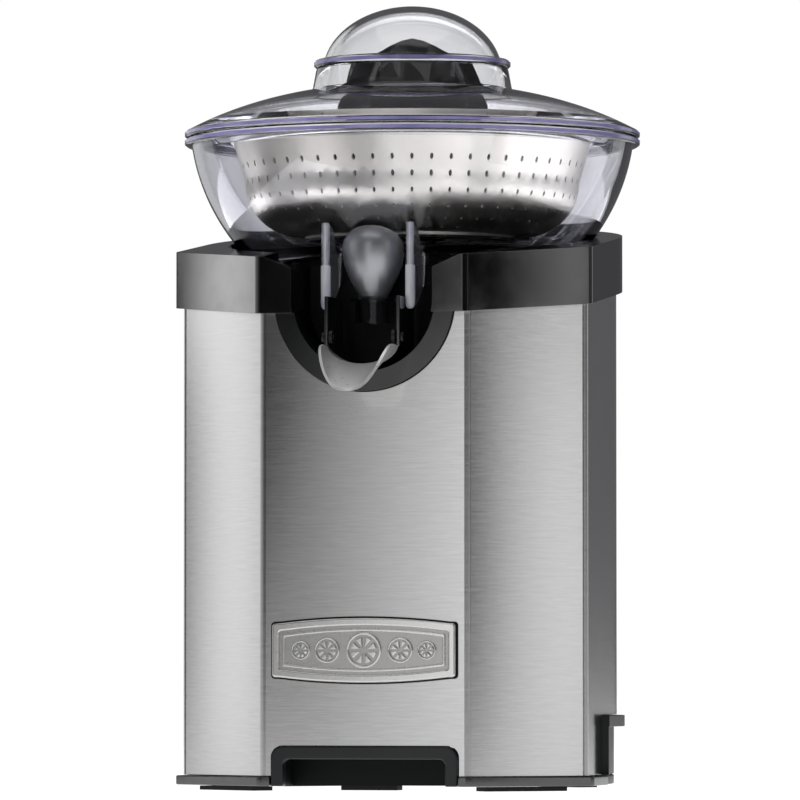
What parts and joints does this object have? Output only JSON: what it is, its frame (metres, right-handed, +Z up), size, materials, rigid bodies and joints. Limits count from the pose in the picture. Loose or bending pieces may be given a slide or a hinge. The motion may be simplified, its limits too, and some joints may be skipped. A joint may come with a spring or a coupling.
{
  "type": "citrus press juicer",
  "caption": "Electric citrus juicer: steel housing, glossy collar, flip-up spout, clear juice bowl, spinning strainer basket with ribbed reamer, lid and dome cover.",
  "frame": {"origin": "centre of the bounding box on the surface the juicer stands on; the spindle axis is at y = 0.0107 m", "axes": "+Z up, -Y towards the front panel and spout, +X to the right seen from the front when looking along +Y"},
  "size_m": [0.1778, 0.1992, 0.3052],
  "materials": {
    "brushed_steel": "horizontally brushed stainless steel",
    "satin_steel": "fine satin stainless steel",
    "machine_steel": "plain pressed and turned steel",
    "gloss_black": "high-gloss black moulded plastic",
    "black_plastic": "semi-matt black moulded plastic",
    "rubber": "soft black rubber",
    "clear_plastic": "clear plastic with a faint violet-blue tint at its edges",
    "white_plastic": "natural gear plastic"
  },
  "bodies": {
    "base": {"steel_shell": "brushed_steel", "top_collar": "gloss_black", "spout_surround": "gloss_black", "spout_well": "black_plastic", "top_deck": "black_plastic", "spout_frame": "black_plastic", "spout_pin_left": "machine_steel", "spout_pin_right": "machine_steel", "base_ring": "black_plastic", "base_plate": "black_plastic", "arch_trim": "black_plastic", "grip_pocket": "black_plastic", "foot_front_left": "rubber", "foot_front_right": "rubber", "foot_rear_left": "rubber", "foot_rear_right": "rubber", "foot_centre": "rubber", "cord_wrap": "black_plastic", "cord_gland": "rubber", "badge_gasket": "black_plastic", "badge_frame": "satin_steel", "badge_field": "satin_steel", "gear_plate_lower": "machine_steel", "gear_plate_upper": "machine_steel", "motor_can": "machine_steel", "motor_cap": "black_plastic", "idler_axle": "machine_steel", "return_spring": "machine_steel", "spindle_bush": "white_plastic", "switch_bracket": "machine_steel", "switch_pin": "machine_steel", "switch_body": "black_plastic", "post_lower_1": "machine_steel", "post_upper_1": "machine_steel", "post_lower_2": "machine_steel", "post_upper_2": "machine_steel", "post_lower_3": "machine_steel", "post_upper_3": "machine_steel", "post_lower_4": "machine_steel", "post_upper_4": "machine_steel", "gear_spacer_1": "machine_steel", "gear_spacer_2": "machine_steel", "gear_spacer_3": "machine_steel"},
    "juice_bowl": {"juice_bowl": "clear_plastic"},
    "bearing": {"hub_bearing": "white_plastic"},
    "drive_hub": {"drive_sleeve": "white_plastic"},
    "basket": {"strainer_basket": "satin_steel", "basket_hub": "black_plastic"},
    "shutter": {"pulp_shutter": "black_plastic"},
    "reamer": {"reamer": "gloss_black"},
    "lid": {"lid": "clear_plastic"},
    "dome": {"dome_cover": "clear_plastic"},
    "spout": {"spout_lip": "satin_steel"},
    "output": {"output_gear": "white_plastic"},
    "idler": {"compound_gear": "white_plastic"},
    "rotor": {"motor_shaft": "machine_steel", "cooling_fan": "white_plastic"},
    "spindle": {"spindle": "machine_steel"},
    "lever": {"switch_lever": "machine_steel"}
  },
  "joints": [
    {"name": "bowl_lift", "type": "slide", "parent": "base", "child": "juice_bowl", "axis": [0, 0, 1], "range_m": [0, 0.09]},
    {"name": "basket_lift", "type": "slide", "parent": "juice_bowl", "child": "bearing", "axis": [0, 0, 1], "range_m": [0, 0.05]},
    {"name": "hub_spin", "type": "hinge", "parent": "bearing", "child": "drive_hub", "pos_m": [0, 0.0107, 0.23], "axis": [0, 0, 1], "continuous": true},
    {"name": "basket_press", "type": "slide", "parent": "drive_hub", "child": "basket", "axis": [0, 0, 1], "range_m": [-0.003, 0]},
    {"name": "shutter_turn", "type": "hinge", "parent": "basket", "child": "shutter", "pos_m": [0, 0.0107, 0.214], "axis": [0, 0, 1], "range_deg": [0, 30]},
    {"name": "reamer_lift", "type": "slide", "parent": "basket", "child": "reamer", "axis": [0, 0, 1], "range_m": [0, 0.009]},
    {"name": "lid_lift", "type": "slide", "parent": "bearing", "child": "lid", "axis": [0, 0, 1], "range_m": [0, 0.06]},
    {"name": "dome_lift", "type": "slide", "parent": "lid", "child": "dome", "axis": [0, 0, 1], "range_m": [0, 0.04]},
    {"name": "spout_flip", "type": "hinge", "parent": "base", "child": "spout", "pos_m": [0, -0.0723, 0.172], "axis": [-1, 0, 0], "range_deg": [0, 60]},
    {"name": "drive_spin", "type": "hinge", "parent": "base", "child": "output", "pos_m": [0, 0.0107, 0.14], "axis": [0, 0, 1], "continuous": true},
    {"name": "idler_spin", "type": "hinge", "parent": "base", "child": "idler", "pos_m": [0, 0.0482, 0.136], "axis": [0, 0, 1], "continuous": true},
    {"name": "motor_spin", "type": "hinge", "parent": "base", "child": "rotor", "pos_m": [0.025, 0.0482, 0.08], "axis": [0, 0, 1], "continuous": true},
    {"name": "spindle_press", "type": "slide", "parent": "output", "child": "spindle", "axis": [0, 0, 1], "range_m": [-0.003, 0], "stiffness_N_per_m": 2500, "springref_m": 0.006, "deforming": ["return_spring"]},
    {"name": "lever_turn", "type": "hinge", "parent": "base", "child": "lever", "pos_m": [-0.02, 0.0107, 0.1055], "axis": [0, 1, 0], "range_deg": [0, 8.6]}
  ],
  "couplings": [
    {"joint": "drive_spin", "follows": "hub_spin", "ratio": 1},
    {"joint": "idler_spin", "follows": "hub_spin", "ratio": -4},
    {"joint": "motor_spin", "follows": "hub_spin", "ratio": 16},
    {"joint": "basket_press", "follows": "spindle_press", "ratio": 1},
    {"joint": "lever_turn", "follows": "spindle_press", "rad_per_m": -50}
  ]
}
